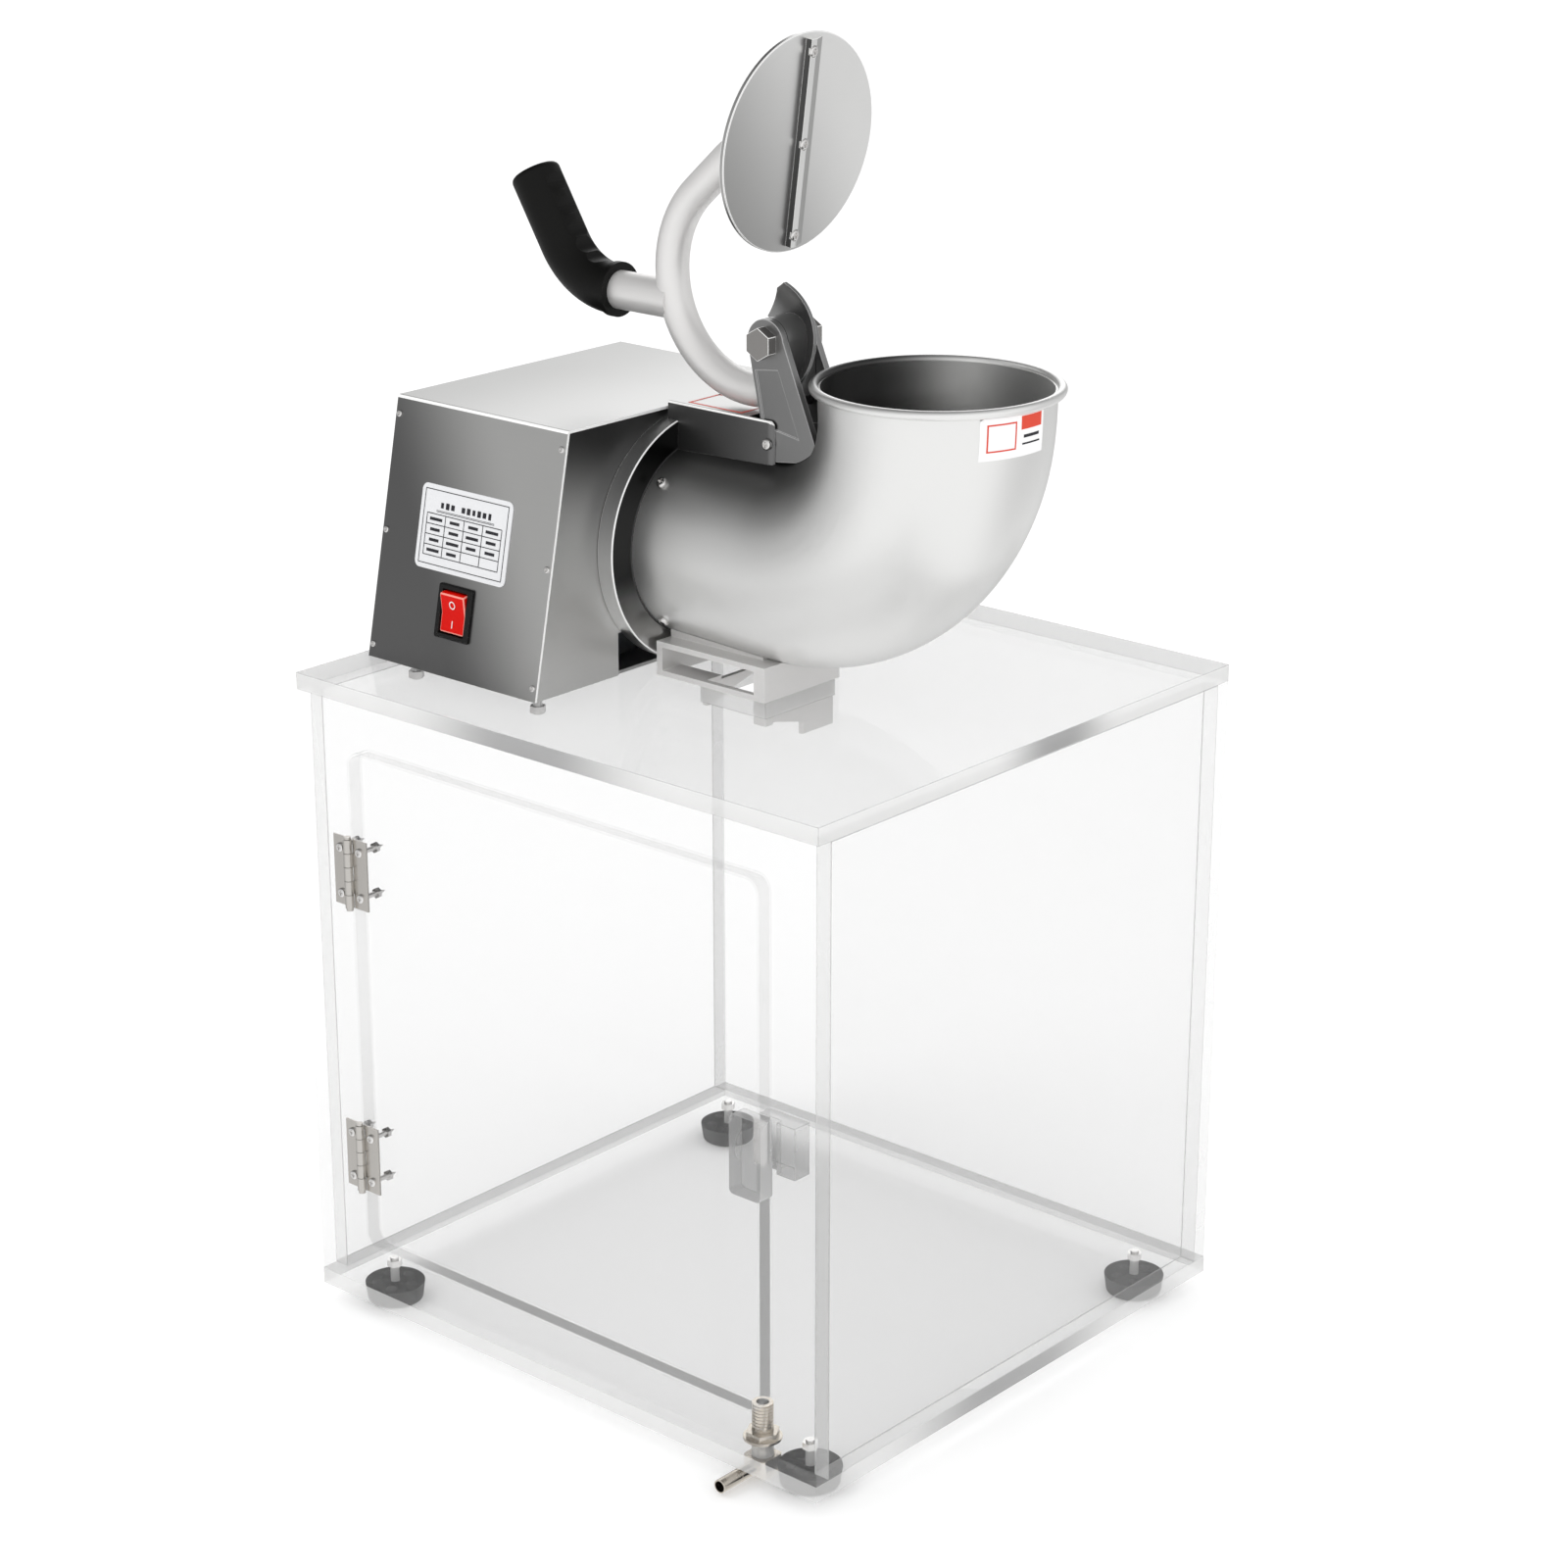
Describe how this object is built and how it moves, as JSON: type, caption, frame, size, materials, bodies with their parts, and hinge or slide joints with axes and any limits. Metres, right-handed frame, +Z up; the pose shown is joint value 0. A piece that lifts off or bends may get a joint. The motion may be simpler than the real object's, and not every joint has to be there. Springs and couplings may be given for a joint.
{
  "type": "shaved ice machine",
  "caption": "Motor-driven ice shaver with elbow hopper and hand press lever, mounted on a clear bin with hinged door, drain and rubber feet.",
  "frame": {"origin": "centre of the bin footprint on the standing surface", "axes": "+Z up, -Y out of the door, +X towards the hopper"},
  "size_m": [0.4, 0.374, 0.7584],
  "materials": {
    "clear_acrylic": "polished clear sheet",
    "foot_rubber": "moulded rubber",
    "zinc": "bright plated fasteners",
    "hinge_steel": "stainless butt hinge",
    "drain_metal": "nickel plated brass",
    "casing_steel": "brushed stainless sheet",
    "hopper_steel": "satin polished stainless",
    "cast_alloy": "machined and bead-blasted casting",
    "bracket_alloy": "cast and ground",
    "lever_steel": "satin silver coat",
    "plate_steel": "brushed stainless plate",
    "grip_rubber": "moulded rubber",
    "switch_black": "moulded",
    "switch_red": "moulded",
    "plate_white": "blank printed plate",
    "motor_steel": "laminations, varnished",
    "blade_steel": "ground tool steel",
    "inner_plastic": "moulded"
  },
  "bodies": {
    "root": {"floor_panel": "clear_acrylic", "top_panel": "clear_acrylic", "back_panel": "clear_acrylic", "left_panel": "clear_acrylic", "right_panel": "clear_acrylic", "front_frame": "clear_acrylic", "rubber_feet": "foot_rubber", "foot_fasteners": "zinc", "drain_fitting": "drain_metal", "drain_nut": "drain_metal", "drain_pipe": "drain_metal", "hinge_frame_leaves": "hinge_steel", "hinge_pins": "hinge_steel", "hinge_frame_fasteners": "zinc", "catch_magnet": "clear_acrylic", "casing_cover": "casing_steel", "casing_right_wall": "casing_steel", "casing_left_wall": "casing_steel", "casing_screws": "zinc", "base_plate": "casing_steel", "hold_down_fasteners": "zinc", "rating_plate": "plate_white", "switch_bezel": "switch_black", "cord_gland": "inner_plastic", "motor_stator": "motor_steel", "motor_front_bell": "cast_alloy", "motor_rear_bell": "cast_alloy", "motor_bearings": "blade_steel", "motor_cradle": "motor_steel", "run_capacitor": "inner_plastic", "shaft_seal": "inner_plastic", "drum_housing": "cast_alloy", "drum_bolts": "zinc", "elbow_hopper": "hopper_steel", "housing_screws": "zinc", "saddle_cover": "bracket_alloy", "fork_bracket": "bracket_alloy", "pivot_bolt": "zinc", "chute_frame": "cast_alloy"},
    "door": {"door_panel": "clear_acrylic", "hinge_door_leaves": "hinge_steel", "hinge_door_fasteners": "zinc", "door_handle": "clear_acrylic", "catch_strike": "zinc"},
    "rotor": {"motor_shaft": "blade_steel", "rotor_core": "motor_steel", "cooling_fan": "inner_plastic", "blade_disc": "cast_alloy", "shaving_blades": "blade_steel", "disc_nut": "zinc"},
    "rocker": {"rocker": "switch_red"},
    "lever": {"bow_tube": "lever_steel", "handle_tube": "lever_steel", "grip": "grip_rubber", "press_plate": "plate_steel", "plate_rib": "plate_steel", "plate_screws": "zinc", "lever_hub": "bracket_alloy", "hub_guard": "bracket_alloy"}
  },
  "joints": [
    {"name": "lever_press", "type": "hinge", "parent": "root", "child": "lever", "pos_m": [0.022, -0.0085, 0.591], "axis": [0, 1, 0], "range_deg": [0, 100]},
    {"name": "door_swing", "type": "hinge", "parent": "root", "child": "door", "pos_m": [-0.15425, -0.1828, 0.2035], "axis": [0, 0, -1], "range_deg": [0, 165]},
    {"name": "blade_spin", "type": "hinge", "parent": "root", "child": "rotor", "pos_m": [0.0323, -0.0085, 0.4686], "axis": [1, 0, 0], "continuous": true},
    {"name": "rocker_tilt", "type": "hinge", "parent": "root", "child": "rocker", "pos_m": [-0.1225, -0.12157, 0.43184], "axis": [-1, 0, 0], "range_deg": [0, 18]}
  ]
}
